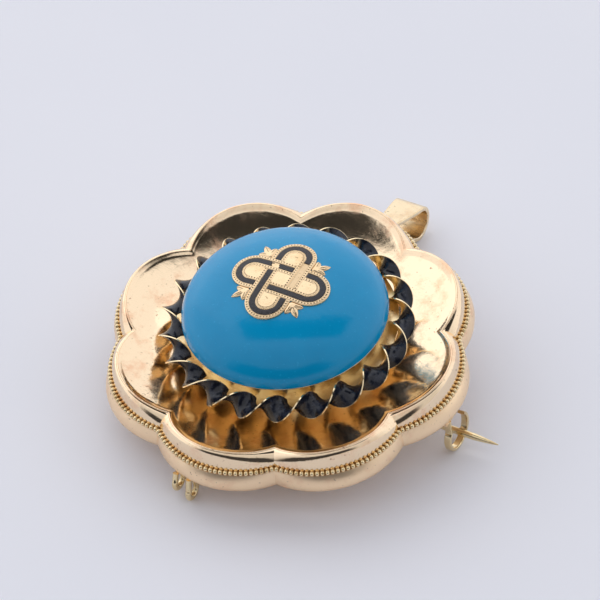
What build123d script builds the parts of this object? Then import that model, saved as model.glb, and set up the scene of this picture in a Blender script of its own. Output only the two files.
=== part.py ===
"""Brooch-pendant locket: eight-lobed gold frame, enamelled dome, hinged bail and pin, glazed back.

Millimetres. The origin is the centre of the back plate's outer face, +Z points out of the
decorated face and +Y points to the bail. Lobe middles lie every 45 degrees from +X.
"""

from build123d import *
import math
import os

# --- lobed frame ---------------------------------------------------------------------------
LOBES = 8
HALF_LOBE = 180 / LOBES
LOBE_CENTRE = 12.33      # from the main axis to the middle of each lobe's arc
CREST_S = 8.12           # crest line, measured from the lobe's own middle
CREST_Z = 5.15           # at the lobes' middles; the dish makes it lower at the notches
FLOOR_Z = 2.9            # polished floor of the tray
DISH_START = 10.2        # where the floor begins to curve up
TRAY_SHEET = 0.3
RIM_NOTCH, RIM_APEX = 20.4, 22.36      # widest line of the lower rim
BEAD_NOTCH, BEAD_APEX, BEAD_Z = 20.0, 21.6, 2.75
BEAD_RADIUS = 0.38
PLATE_NOTCH, PLATE_APEX = 19.35, 21.25
PLATE_THICK = 0.5

# --- dome and its mount --------------------------------------------------------------------
DOME_RADIUS, DOME_HEIGHT, DOME_Z = 12.2, 5.5, 7.7
DOME_POWER = 2.5         # roundness of the shoulder
DOME_SHELL = 0.9
EDGE_THICK = 0.3
COLLET_OUTER, COLLET_WALL = 11.6, 0.4
RIBBON_RADIUS, RIBBON_Z = 13.5, 6.0
RIBBON_WIDTH, RIBBON_THICK = 3.3, 0.28
HALF_TWISTS = 21
RIBBON_CORE = 0.35
BLADE_SHARE = 0.6        # of each half turn that a blade fills
SHELF_RADIUS, SHELF_THICK = 13.2, 0.25

# --- knot ornament -------------------------------------------------------------------------
STRAND_OFFSET = 1.7      # strand centre line from the ornament's axes
STRAND_TIP = 5.3         # centre line's furthest point
BAND_HALF = 0.87         # half the gold band's width
LINE_HALF = 0.37         # half the enamel line's width
ORNAMENT_THICK = 0.24
INLAY_DEPTH = 0.12
SPRIG_REACH = 6.2
RIVET_RADIUS = 0.45

# --- compartment in the back ---------------------------------------------------------------
CUP_RADIUS, CUP_WALL, CUP_TOP = 9.7, 0.4, 3.2
FIT_GAP = 0.05
FLANGE_RADIUS, FLANGE_THICK = 10.1, 0.5
BARREL_WALL, BARREL_TOP = 0.55, 1.4
GLASS_THICK = 0.6
PAPER_THICK = 0.3

# --- brooch pin ----------------------------------------------------------------------------
PIVOT_X, PIVOT_Z = -19.5, -2.45
KNUCKLE_RADIUS = 0.95
RIVET_PIN = 0.4
EYE_HALF, KNUCKLE_GAP, KNUCKLE_END = 0.5, 0.56, 1.7
STEM_RADIUS, STEM_TIP_X, STEM_TIP_Z = 0.42, 26.9, -4.15
STEM_POINT = 5.0
CATCH_X, CATCH_WIDTH, CATCH_Z = 21.0, 0.9, -4.0
CATCH_OUTER, CATCH_THICK = 2.4, 0.35
FOOT_THICK = 0.45

# --- bail ----------------------------------------------------------------------------------
BAIL_Y, BAIL_Z = 21.4, -1.3
BAIL_DROOP = 29.4        # degrees below the back plate's plane, as it hangs
BAIL_REACH = 9.1         # from the pivot to the middle of the rounded end
BAIL_EYE, BAIL_END = 0.95, 2.2
BAIL_BAND = 0.5
BAIL_NARROW, BAIL_WIDE = 1.6, 4.0
STAPLE_WIRE = 0.4

# --- loops at the bottom edge --------------------------------------------------------------
LOOP_RING, LOOP_WIRE = 0.95, 0.36
LOOPS = {"drop_loop_left": (-3.95, -21.2, -1.56), "drop_loop_right": (-2.1, -21.5, -2.2)}


def notch_of(s):
    """Distance from the main axis to the notch of a curve that runs s from each lobe's middle."""
    across = LOBE_CENTRE * math.sin(math.radians(HALF_LOBE))
    along = LOBE_CENTRE * math.cos(math.radians(HALF_LOBE))
    return along + math.sqrt(s * s - across * across)


def apex_of(s):
    return LOBE_CENTRE + s


def polar(radius, degrees):
    angle = math.radians(degrees)
    return radius * math.cos(angle), radius * math.sin(angle)


def lobed_face(z, notch, apex):
    """Flat face whose outline is eight equal arcs meeting in eight notches."""
    arcs = []
    for k in range(LOBES):
        middle = k * 360 / LOBES
        start = polar(notch, middle - HALF_LOBE)
        top = polar(apex, middle)
        end = polar(notch, middle + HALF_LOBE)
        arcs.append(ThreePointArc(start, top, end))
    return Pos(0, 0, z) * make_face(Wire(arcs))


def lobed_solid(sections):
    """Solid through lobed outlines, each given as (z, notch radius, apex radius)."""
    return loft([lobed_face(*section) for section in sections], ruled=True)


def tube(outer, inner, low, high):
    ring = Circle(outer) - Circle(inner)
    return Pos(0, 0, low) * extrude(ring, high - low)


def disc(radius, low, high):
    return Pos(0, 0, low) * extrude(Circle(radius), high - low)


# --- frame ---------------------------------------------------------------------------------
def above_dish(grow=0.0):
    """Everything over the tray's dished face, which is round; grow moves the face down."""
    out = apex_of(CREST_S) - DISH_START
    rise = CREST_Z - FLOOR_Z
    radius = (out * out + rise * rise) / (2 * rise)
    centre_z = FLOOR_Z + radius
    radius += grow
    swing = 42           # degrees of arc, enough to pass over the crest
    tip = (DISH_START, centre_z - radius)
    middle = polar(radius, swing / 2 - 90)
    end = polar(radius, swing - 90)
    curve = ThreePointArc(
        tip,
        (DISH_START + middle[0], centre_z + middle[1]),
        (DISH_START + end[0], centre_z + end[1]),
    )
    top = centre_z + end[1]
    closing = Polyline((DISH_START + end[0], top), (0, top), (0, tip[1]), tip)
    return revolve(Plane.XZ * make_face(curve + closing), Axis.Z)


def front_tray():
    edge = CREST_S + TRAY_SHEET
    block = lobed_solid([(z, notch_of(edge), apex_of(edge)) for z in (1, CREST_Z + 0.5)])
    return (block & above_dish(TRAY_SHEET)) - above_dish() - disc(CUP_RADIUS, 0, CREST_Z)


def upper_rim_band():
    inner = CREST_S + TRAY_SHEET
    top = CREST_Z + 0.3
    outer = lobed_solid([
        (BEAD_Z - 0.3, BEAD_NOTCH - 0.4, BEAD_APEX - 0.4),
        (BEAD_Z + 0.5, BEAD_NOTCH - 0.55, BEAD_APEX - 0.45),
        (CREST_Z - 0.6, notch_of(inner + 0.3), apex_of(inner + 0.35)),
        (top, notch_of(inner + 0.15), apex_of(inner + 0.1)),
    ])
    wall = [(z, notch_of(inner), apex_of(inner)) for z in (BEAD_Z - 0.3, top)]
    return outer - lobed_solid(wall) - above_dish()


def bead_wire():
    inside = BEAD_RADIUS - 0.02
    outer = lobed_solid([
        (BEAD_Z - 0.3, BEAD_NOTCH + 0.1, BEAD_APEX + 0.1),
        (BEAD_Z, BEAD_NOTCH + BEAD_RADIUS, BEAD_APEX + BEAD_RADIUS),
        (BEAD_Z + 0.3, BEAD_NOTCH + 0.1, BEAD_APEX + 0.1),
    ])
    inner = [(z, BEAD_NOTCH - inside, BEAD_APEX - inside) for z in (BEAD_Z - 0.3, BEAD_Z + 0.3)]
    return outer - lobed_solid(inner)


def lower_rim():
    top = BEAD_Z - 0.3
    outer = lobed_solid([
        (0, RIM_NOTCH - 0.3, RIM_APEX - 0.35),
        (0.3, RIM_NOTCH, RIM_APEX),
        (1.5, RIM_NOTCH, RIM_APEX - 0.1),
        (top, RIM_NOTCH - 0.3, RIM_APEX - 0.6),
    ])
    wall = [(z, PLATE_NOTCH, PLATE_APEX) for z in (0, top)]
    return outer - lobed_solid(wall)


def back_plate():
    plate = lobed_solid([(z, PLATE_NOTCH, PLATE_APEX) for z in (0, PLATE_THICK)])
    return plate - disc(CUP_RADIUS, 0, PLATE_THICK)


# --- dome ----------------------------------------------------------------------------------
def dome_solid(grow=0.0):
    """Dome with a soft shoulder and a flat base, its curved side grown outwards by grow."""
    radius = DOME_RADIUS + grow
    height = DOME_HEIGHT + grow
    shares = [0, 0.2, 0.4, 0.6, 0.75, 0.87, 0.95, 0.99, 1]
    points = [
        (radius * share, DOME_Z + height * math.sqrt(1 - share**DOME_POWER)) for share in shares
    ]
    curve = Spline(points, tangents=[(1, 0), (0, -1)])
    closing = Polyline(points[-1], (0, DOME_Z), points[0])
    return revolve(Plane.XZ * make_face(curve + closing), Axis.Z)


def enamel_dome():
    hollow = dome_solid(-DOME_SHELL)
    return dome_solid() - hollow - disc(RIVET_RADIUS, DOME_Z, DOME_Z + DOME_HEIGHT + 1)


def dome_edge_ring():
    return tube(DOME_RADIUS, COLLET_OUTER - COLLET_WALL, DOME_Z - EDGE_THICK, DOME_Z)


def dome_collet():
    wall = tube(COLLET_OUTER, COLLET_OUTER - COLLET_WALL, FLOOR_Z, DOME_Z - EDGE_THICK)
    return wall - front_tray()


def ribbon_shelf():
    top = RIBBON_Z - RIBBON_CORE
    return tube(SHELF_RADIUS, COLLET_OUTER, top - SHELF_THICK, top)


def twisted_ribbon():
    """Twisted strip as a ring of leaning blades, one to each half turn, on a round core."""
    core = Pos(0, 0, RIBBON_Z) * Torus(RIBBON_RADIUS, RIBBON_CORE)
    length = BLADE_SHARE * 2 * math.pi * RIBBON_RADIUS / HALF_TWISTS
    blade = Box(RIBBON_WIDTH, length, RIBBON_THICK)
    blades = []
    for k in range(HALF_TWISTS):
        turn = Rot(0, 0, k * 360 / HALF_TWISTS)
        blades.append(turn * Pos(RIBBON_RADIUS, 0, RIBBON_Z) * Rot(0, 45, 0) * blade)
    return core + blades


# --- ornament ------------------------------------------------------------------------------
def stadium(half_width):
    """Long rounded loop along Y, half_width either side of the strand's centre line's middle."""
    straight = 2 * (STRAND_TIP - STRAND_OFFSET)
    return Rot(0, 0, 90) * SlotCenterToCenter(straight, 2 * half_width)


def strand(half_width):
    return stadium(STRAND_OFFSET + half_width) - stadium(STRAND_OFFSET - half_width)


def on_dome(face, low, high):
    """The stretch of a flat outline that lies between two heights over the dome's surface."""
    column = Pos(0, 0, DOME_Z + 2) * extrude(face, DOME_HEIGHT)
    return (column & dome_solid(high)) - dome_solid(low)


def crossing_gap(x, y):
    return Pos(x, y) * Rectangle(2 * BAND_HALF, 2 * BAND_HALF)


def knot_lines():
    """Enamel lines of the two loops, each broken where it passes under the other."""
    offset = STRAND_OFFSET
    upright = strand(LINE_HALF) - crossing_gap(-offset, offset) - crossing_gap(offset, -offset)
    level = Rot(0, 0, 90) * strand(LINE_HALF)
    level = level - crossing_gap(offset, offset) - crossing_gap(-offset, -offset)
    return upright + level


def sprig_face():
    """Three-lobed leaf on a short stalk, pointing along +X."""
    leaf = Pos(SPRIG_REACH - 0.7, 0) * Ellipse(0.7, 0.42)
    stalk = Pos(4.5, 0) * Rectangle(2.2, 0.36)
    face = leaf + stalk
    for side in (-1, 1):
        face += Pos(4.9, side * 0.62) * Rot(0, 0, side * 50) * Ellipse(0.6, 0.34)
    return face


def knot_plate():
    outline = stadium(STRAND_OFFSET + BAND_HALF)
    outline = outline + Rot(0, 0, 90) * outline
    floor = on_dome(knot_lines(), ORNAMENT_THICK - INLAY_DEPTH, ORNAMENT_THICK)
    return on_dome(outline, 0, ORNAMENT_THICK) - floor


def knot_inlay():
    return on_dome(knot_lines(), ORNAMENT_THICK - INLAY_DEPTH, ORNAMENT_THICK)


def leaf_sprigs():
    outline = stadium(STRAND_OFFSET + BAND_HALF)
    outline = outline + Rot(0, 0, 90) * outline
    leaves = []
    for k in range(4):
        leaf = Rot(0, 0, 45 + 90 * k) * sprig_face() - outline
        leaves += on_dome(leaf, 0, ORNAMENT_THICK * 0.75).solids()
    return Compound(children=leaves)


def ornament_rivet():
    head = DOME_Z + DOME_HEIGHT - DOME_SHELL - 0.7
    return disc(RIVET_RADIUS, head, DOME_Z + DOME_HEIGHT)


def rivet_washer():
    top = DOME_Z + DOME_HEIGHT - DOME_SHELL - 0.03
    return tube(1.3, RIVET_RADIUS, top - 0.3, top)


# --- compartment ---------------------------------------------------------------------------
def compartment_cup():
    return disc(CUP_RADIUS, 0, CUP_TOP) - disc(CUP_RADIUS - CUP_WALL, 0, CUP_TOP - CUP_WALL)


def keepsake_disc():
    top = CUP_TOP - CUP_WALL
    return disc(CUP_RADIUS - CUP_WALL - 0.2, top - PAPER_THICK, top)


def glazed_frame():
    """Friction-fit bezel: a barrel inside the cup and a flange against the back plate."""
    barrel = CUP_RADIUS - CUP_WALL - FIT_GAP
    gap = 0.02
    window = barrel - BARREL_WALL - 0.4
    body = disc(barrel, -gap, BARREL_TOP) + disc(FLANGE_RADIUS, -gap - FLANGE_THICK, -gap)
    body -= disc(barrel - BARREL_WALL, BARREL_TOP - GLASS_THICK, BARREL_TOP)
    return body - disc(window, -FLANGE_THICK - 1, BARREL_TOP)


def locket_glass():
    radius = CUP_RADIUS - CUP_WALL - FIT_GAP - BARREL_WALL
    return disc(radius, BARREL_TOP - GLASS_THICK, BARREL_TOP)


# --- pin, hinge and catch ------------------------------------------------------------------
def across(radius, low, high, x=PIVOT_X, z=PIVOT_Z):
    """Cylinder along Y between two places."""
    bar = Rot(90, 0, 0) * Cylinder(radius, high - low)
    return Pos(x, (low + high) / 2, z) * bar


def pin_stem():
    start_z = PIVOT_Z - 0.5
    run = math.hypot(STEM_TIP_X - PIVOT_X, STEM_TIP_Z - start_z)
    lean = math.degrees(math.atan2(start_z - STEM_TIP_Z, STEM_TIP_X - PIVOT_X))
    shaft = Pos(0, 0, 0.5) * extrude(Circle(STEM_RADIUS), run - STEM_POINT - 0.5)
    point = Pos(0, 0, run - STEM_POINT / 2) * Cone(STEM_RADIUS, 0.06, STEM_POINT)
    stem = Pos(PIVOT_X, 0, start_z) * Rot(0, 90 + lean, 0) * (shaft + point)
    eye = across(KNUCKLE_RADIUS, -EYE_HALF, EYE_HALF)
    return stem + eye - across(RIVET_PIN + FIT_GAP, -2, 2)


def pin_hinge():
    """Two knuckles on a foot, soldered to the back plate."""
    foot = Pos(PIVOT_X, 0, -FOOT_THICK / 2) * Box(3.4, 2 * KNUCKLE_END, FOOT_THICK)
    hinge = foot
    for side in (-1, 1):
        low, high = sorted((side * KNUCKLE_GAP, side * KNUCKLE_END))
        ear = Pos(PIVOT_X, (low + high) / 2, PIVOT_Z / 2)
        hinge += ear * Box(2 * KNUCKLE_RADIUS, high - low, -PIVOT_Z)
        hinge += across(KNUCKLE_RADIUS, low, high)
    return hinge - across(RIVET_PIN, -3, 3)


def pin_rivet():
    return across(RIVET_PIN, -KNUCKLE_END - 0.15, KNUCKLE_END + 0.15)


def catch():
    """Open hook of flat strip: one arm soldered to the foot, the other free."""
    inner = CATCH_OUTER - CATCH_THICK
    below = Pos(0, -CATCH_OUTER) * Rectangle(4 * CATCH_OUTER, 2 * CATCH_OUTER)
    hook = (Circle(CATCH_OUTER) - Circle(inner)) & below
    middle = CATCH_OUTER - CATCH_THICK / 2
    fixed = -CATCH_Z - FOOT_THICK
    free = 1.7
    hook += Pos(-middle, fixed / 2) * Rectangle(CATCH_THICK, fixed)
    hook += Pos(middle, free / 2) * Rectangle(CATCH_THICK, free)
    lip = Pos(middle - 0.25, free) * Rot(0, 0, 40) * Rectangle(CATCH_THICK, 1.2)
    strip = extrude(hook + lip, CATCH_WIDTH)
    return Pos(CATCH_X, 0, CATCH_Z) * (Plane.YZ * strip)


def catch_foot():
    return Pos(CATCH_X - 0.35, -1.6, -FOOT_THICK / 2) * Box(2.3, 2.2, FOOT_THICK)


# --- bail ----------------------------------------------------------------------------------
def bail():
    """Tapered strip bent into a long loop round the staple's bar."""
    lean = math.degrees(math.asin((BAIL_END - BAIL_EYE) / BAIL_REACH))
    outline = Circle(BAIL_EYE) + Pos(BAIL_REACH, 0) * Circle(BAIL_END)
    hull = [
        (BAIL_EYE * -math.sin(math.radians(lean)), BAIL_EYE * math.cos(math.radians(lean))),
        (
            BAIL_REACH - BAIL_END * math.sin(math.radians(lean)),
            BAIL_END * math.cos(math.radians(lean)),
        ),
    ]
    corners = hull + [(x, -y) for x, y in reversed(hull)]
    outline += make_face(Polyline(*corners, corners[0]))
    hollow = Pos(BAIL_REACH, 0) * Circle(BAIL_END - BAIL_BAND)
    neck = 2.3
    inside = [
        (neck, 0.62),
        (BAIL_REACH, BAIL_END - BAIL_BAND),
        (BAIL_REACH, BAIL_BAND - BAIL_END),
        (neck, -0.62),
    ]
    hollow += make_face(Polyline(*inside, inside[0]))
    side = outline - hollow - Circle(STAPLE_WIRE + FIT_GAP)
    loop = Pos(0, 0, -BAIL_WIDE / 2) * extrude(side, BAIL_WIDE)
    taper = [
        (-BAIL_EYE - 1, BAIL_NARROW / 2),
        (1.2, BAIL_NARROW / 2),
        (BAIL_REACH, BAIL_WIDE / 2),
        (BAIL_REACH + 3, BAIL_WIDE / 2),
    ]
    width_corners = taper + [(x, -y) for x, y in reversed(taper)]
    width = make_face(Polyline(*width_corners, width_corners[0]))
    loop = loop & (Rot(90, 0, 0) * Pos(0, 0, -5) * extrude(width, 10))
    return Pos(0, BAIL_Y, BAIL_Z) * Rot(-BAIL_DROOP, 0, 0) * (Plane.YZ * loop)


def bail_staple():
    """Bent wire: a bar along X on two legs, on a foot soldered to the back plate."""
    reach = BAIL_NARROW / 2 + 0.15 + STAPLE_WIRE
    bar = Pos(0, BAIL_Y, BAIL_Z) * Rot(0, 90, 0) * Cylinder(STAPLE_WIRE, 2 * reach)
    staple = bar
    for side in (-1, 1):
        place = Pos(side * reach, BAIL_Y, BAIL_Z)
        staple += place * Sphere(STAPLE_WIRE)
        staple += place * Pos(0, 0, -BAIL_Z / 2) * Cylinder(STAPLE_WIRE, -BAIL_Z)
    return staple


# --- loops at the bottom edge --------------------------------------------------------------
def drop_loop(x, y, z):
    """Round wire bent to a U, both ends soldered to the back plate."""
    far, near = y - LOOP_RING, y + LOOP_RING
    down = Line((x, far, 0), (x, far, z))
    turn = ThreePointArc((x, far, z), (x, y, z - LOOP_RING), (x, near, z))
    up = Line((x, near, z), (x, near, 0))
    wire_end = Plane(origin=(x, far, 0), z_dir=(0, 0, -1)) * Circle(LOOP_WIRE)
    return sweep(wire_end, path=Wire([down, turn, up]))


def main():
    parts = {
        "front_tray": front_tray(),
        "upper_rim_band": upper_rim_band(),
        "bead_wire": bead_wire(),
        "lower_rim": lower_rim(),
        "back_plate": back_plate(),
        "enamel_dome": enamel_dome(),
        "dome_edge_ring": dome_edge_ring(),
        "dome_collet": dome_collet(),
        "ribbon_shelf": ribbon_shelf(),
        "twisted_ribbon": twisted_ribbon(),
        "knot_plate": knot_plate(),
        "knot_inlay": knot_inlay(),
        "leaf_sprigs": leaf_sprigs(),
        "ornament_rivet": ornament_rivet(),
        "rivet_washer": rivet_washer(),
        "compartment_cup": compartment_cup(),
        "keepsake_disc": keepsake_disc(),
        "glazed_frame": glazed_frame(),
        "locket_glass": locket_glass(),
        "pin_stem": pin_stem(),
        "pin_hinge": pin_hinge(),
        "pin_rivet": pin_rivet(),
        "catch": catch(),
        "catch_foot": catch_foot(),
        "bail": bail(),
        "bail_staple": bail_staple(),
    }
    for name, place in LOOPS.items():
        parts[name] = drop_loop(*place)
    os.makedirs("parts", exist_ok=True)
    for name, solid in parts.items():
        export_step(solid, f"parts/{name}.step")


main()
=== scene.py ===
"""Looks of the brooch-pendant locket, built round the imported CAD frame. Metres, same frame as the CAD.

Shapes are worked out in millimetres, from the boxes of the CAD nodes, and scaled when a piece is made.
"""

import math

import bmesh
import bpy
import numpy as np
from mathutils import Matrix, Vector


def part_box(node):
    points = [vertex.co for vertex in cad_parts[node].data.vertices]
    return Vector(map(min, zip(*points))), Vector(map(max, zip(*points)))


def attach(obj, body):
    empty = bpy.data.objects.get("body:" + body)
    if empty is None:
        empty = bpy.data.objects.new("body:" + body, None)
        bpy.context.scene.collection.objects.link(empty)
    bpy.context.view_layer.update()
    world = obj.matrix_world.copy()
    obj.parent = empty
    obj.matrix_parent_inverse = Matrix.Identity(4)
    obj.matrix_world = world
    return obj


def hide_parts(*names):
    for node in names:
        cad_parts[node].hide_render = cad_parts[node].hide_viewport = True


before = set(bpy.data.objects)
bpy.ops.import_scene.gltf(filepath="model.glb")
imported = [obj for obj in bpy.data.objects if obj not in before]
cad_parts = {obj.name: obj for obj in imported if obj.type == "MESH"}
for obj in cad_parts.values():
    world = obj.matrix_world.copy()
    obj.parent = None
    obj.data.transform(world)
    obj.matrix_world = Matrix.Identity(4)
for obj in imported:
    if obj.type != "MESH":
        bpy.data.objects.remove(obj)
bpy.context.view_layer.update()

MM = 0.001
LOBES = 8
HALF_LOBE = math.pi / LOBES


# --- sizes read from the frame, in mm ----------------------------------------------------------
def low(node):
    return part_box(node)[0] / MM


def high(node):
    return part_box(node)[1] / MM


TRAY_SHEET = 0.3
CREST_APEX = high("front_tray").x - TRAY_SHEET
CREST_ARC = 8.12                                # radius of each lobe's crest line
LOBE_CENTRE = CREST_APEX - CREST_ARC            # from the main axis to the middle of that arc
CREST_Z = 5.15                                  # at the lobes' middles; the notches lie lower
FLOOR_Z = low("front_tray").z + TRAY_SHEET
DISH_START = 10.2                               # where the tray's floor begins to curve up
LIP_RISE, LIP_RUN = 0.13, 0.65                  # how far the last of the dish turns up, and over what
DISH_RADIUS = ((CREST_APEX - DISH_START) ** 2 + (CREST_Z - FLOOR_Z) ** 2) / (2 * (CREST_Z - FLOOR_Z))
CUP_RADIUS = high("compartment_cup").x
RIM_DIP, BEAD_DIP = 1.96, 1.6                   # how much nearer the axis the notches are
RIM_APEX = high("lower_rim").x
RIM_NOTCH = RIM_APEX - RIM_DIP
BEAD_RADIUS = 0.38
BEAD_APEX = high("bead_wire").x - BEAD_RADIUS
BEAD_NOTCH = BEAD_APEX - BEAD_DIP
BEAD_Z = (high("bead_wire").z + low("bead_wire").z) / 2
BEADS_PER_LOBE = 28
BEAD_SCALE = (0.33, 0.28, 0.34)                 # half sizes: outwards, along the row, up
DOME_RADIUS = high("enamel_dome").x
DOME_Z = low("enamel_dome").z
DOME_HEIGHT = high("enamel_dome").z - DOME_Z
DOME_POWER = 2.5                                # 2 is an ellipse; more makes a fuller shoulder
RIBBON_RADIUS, RIBBON_Z = 13.55, 5.85
RIBBON_HALF, RIBBON_THICK = 1.6, 0.14           # half width, thickness
RIBBON_HALF_TURNS = 21                          # odd, so its two faces join after one round
RIBBON_TIP_ANGLE = math.radians(296.5)          # an outermost tip of the ribbon's edge
PIN_EYE, PIN_PIVOT_Z = 0.95, -2.45              # outer radius of the stem's eye, its height


# --- mesh helpers ------------------------------------------------------------------------------
def grid_faces(rows, columns, close_rows=False, close_columns=False, first=0):
    """Quads of a grid of points stored row by row."""
    faces = []
    for i in range(rows if close_rows else rows - 1):
        for j in range(columns if close_columns else columns - 1):
            down, right = (i + 1) % rows, (j + 1) % columns
            corners = (i * columns + j, i * columns + right, down * columns + right, down * columns + j)
            faces.append([first + c for c in corners])
    return faces


def make_piece(name, points, faces, material, body="locket", replaced=(), crease=35.0):
    """A mesh piece from points in mm, smooth but for edges sharper than crease degrees."""
    mesh = bpy.data.meshes.new(name)
    mesh.from_pydata((np.asarray(points, float) * MM).tolist(), [], faces)
    shape = bmesh.new()
    shape.from_mesh(mesh)
    bmesh.ops.remove_doubles(shape, verts=shape.verts, dist=1e-7)
    bmesh.ops.recalc_face_normals(shape, faces=shape.faces)
    shape.to_mesh(mesh)
    shape.free()
    mesh.shade_smooth()
    mesh.set_sharp_from_angle(angle=math.radians(crease))
    piece = bpy.data.objects.new(name, mesh)
    bpy.context.scene.collection.objects.link(piece)
    mesh.materials.append(material)
    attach(piece, body)
    if replaced:
        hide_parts(*replaced)
    return piece


def colour_layer(piece, name, values):
    layer = piece.data.attributes.new(name, "FLOAT", "POINT")
    layer.data.foreach_set("value", np.asarray(values, np.float32))


def turned_about_z(turn, x, y):
    return x * np.cos(turn) - y * np.sin(turn), x * np.sin(turn) + y * np.cos(turn)


def lobe_arc(notch, apex):
    """Centre, radius and half angle of the arc through a lobe's apex and its two notches."""
    centre = (apex**2 - notch**2) / (2 * (apex - notch * math.cos(HALF_LOBE)))
    end = math.atan2(notch * math.sin(HALF_LOBE), notch * math.cos(HALF_LOBE) - centre)
    return centre, apex - centre, end


def lobed_ring(notch, apex, steps):
    """Points of eight arcs through the notches and apexes, once round."""
    centre, radius, end = lobe_arc(notch, apex)
    angles = np.linspace(-end, end, steps, endpoint=False)
    x, y = centre + radius * np.cos(angles), radius * np.sin(angles)
    turns = np.arange(LOBES)[:, None] * 2 * HALF_LOBE
    return np.stack(turned_about_z(turns, x, y), -1).reshape(-1, 2)


def notch_of(arc):
    """How far from the main axis the notches lie, where each lobe is an arc of this radius."""
    side, along = LOBE_CENTRE * math.sin(HALF_LOBE), LOBE_CENTRE * math.cos(HALF_LOBE)
    return along + math.sqrt(arc * arc - side * side)


def smooth(value, low_edge, high_edge):
    """Smooth step from 0 at one edge to 1 at the other; the first edge may be the higher one."""
    share = np.clip((value - low_edge) / (high_edge - low_edge), 0, 1)
    return share * share * (3 - 2 * share)


def hand_finish(points, depth):
    """Low, broad unevenness of hand-raised sheet, in mm."""
    x, y, z = points[..., 0], points[..., 1], points[..., 2]
    wave = np.sin(1.1 * x + 0.7 * y + 0.4) * np.sin(0.9 * y - 0.6 * x + 1.3)
    wave += 0.5 * np.sin(2.3 * x + 1.7 * z) * np.sin(2.1 * y + 0.8)
    wave += 0.3 * np.sin(4.1 * y - 1.3 * x + 2.0) * np.sin(3.7 * x + 0.9 * y)
    return depth * wave


def lobed_sweep(name, profile, material, replaced, steps=40, uneven=0.0, crease=35.0):
    """A closed profile of (z, notch, apex) carried round the eight lobes."""
    rings = []
    for z, notch, apex in profile:
        flat = lobed_ring(notch, apex, steps)
        ring = np.column_stack([flat, np.full(len(flat), z)])
        if uneven:
            reach = np.linalg.norm(flat, axis=1, keepdims=True)
            ring[:, :2] *= 1 + hand_finish(ring, uneven)[:, None] / reach
        rings.append(ring)
    points = np.stack(rings)
    faces = grid_faces(len(profile), points.shape[1], True, True)
    make_piece(name, points.reshape(-1, 3), faces, material, "locket", replaced, crease)


def lathe(name, profile, material, replaced, steps=256):
    """A profile of (radius, z) turned about +Z; it closes on itself or ends on the axis."""
    angles = np.linspace(0, 2 * math.pi, steps, endpoint=False)
    profile = np.asarray(profile, float)
    points = np.stack([
        np.outer(profile[:, 0], np.cos(angles)),
        np.outer(profile[:, 0], np.sin(angles)),
        np.outer(profile[:, 1], np.ones(steps)),
    ], -1)
    on_axis = profile[0, 0] < 1e-6
    faces = grid_faces(len(profile), steps, not on_axis, True)
    make_piece(name, points.reshape(-1, 3), faces, material, replaced=replaced)


# --- materials -----------------------------------------------------------------------------------
def new_material(name):
    """A material, its nodes and links, and its Principled shader."""
    material = bpy.data.materials.new(name)
    material.use_nodes = True
    nodes, links = material.node_tree.nodes, material.node_tree.links
    return material, nodes, links, nodes["Principled BSDF"]


def place_in_mm(nodes, links, stretch=(1, 1, 1)):
    """Object coordinates in mm, so that a noise scale of 1 is about a millimetre."""
    coordinates = nodes.new("ShaderNodeTexCoord")
    mapping = nodes.new("ShaderNodeMapping")
    mapping.inputs["Scale"].default_value = [1000 * s for s in stretch]
    links.new(coordinates.outputs["Object"], mapping.inputs["Vector"])
    return mapping.outputs["Vector"]


def noise(nodes, links, vector, scale, detail=3.0, rough=0.55, low_cut=0.4, high_cut=0.6):
    """Noise sharpened to 0..1 between two cuts."""
    texture = nodes.new("ShaderNodeTexNoise")
    texture.inputs["Scale"].default_value = scale
    texture.inputs["Detail"].default_value = detail
    texture.inputs["Roughness"].default_value = rough
    links.new(vector, texture.inputs["Vector"])
    ramp = nodes.new("ShaderNodeMapRange")
    ramp.interpolation_type = "SMOOTHSTEP"
    ramp.inputs["From Min"].default_value = low_cut
    ramp.inputs["From Max"].default_value = high_cut
    links.new(texture.outputs["Fac"], ramp.inputs["Value"])
    return ramp.outputs["Result"]


def mix_colour(nodes, links, factor, first, second):
    """Mix of two colours; each is a tuple or a socket."""
    mix = nodes.new("ShaderNodeMix")
    mix.data_type = "RGBA"
    links.new(factor, mix.inputs["Factor"])
    for socket, colour in ((mix.inputs[6], first), (mix.inputs[7], second)):
        if isinstance(colour, tuple):
            socket.default_value = (*colour, 1)
        else:
            links.new(colour, socket)
    return mix.outputs[2]


def scaled(nodes, links, value, low_value, high_value):
    """A 0..1 value spread between two others."""
    ramp = nodes.new("ShaderNodeMapRange")
    ramp.inputs["To Min"].default_value = low_value
    ramp.inputs["To Max"].default_value = high_value
    links.new(value, ramp.inputs["Value"])
    return ramp.outputs["Result"]


def bump(nodes, links, height, depth_mm, strength=1.0, under=None):
    """Normal of a 0..1 height that is depth_mm deep, on top of another bump if one is given."""
    node = nodes.new("ShaderNodeBump")
    node.inputs["Distance"].default_value = depth_mm * MM
    node.inputs["Strength"].default_value = strength
    links.new(height, node.inputs["Height"])
    if under is not None:
        links.new(under, node.inputs["Normal"])
    return node.outputs["Normal"]


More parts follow.
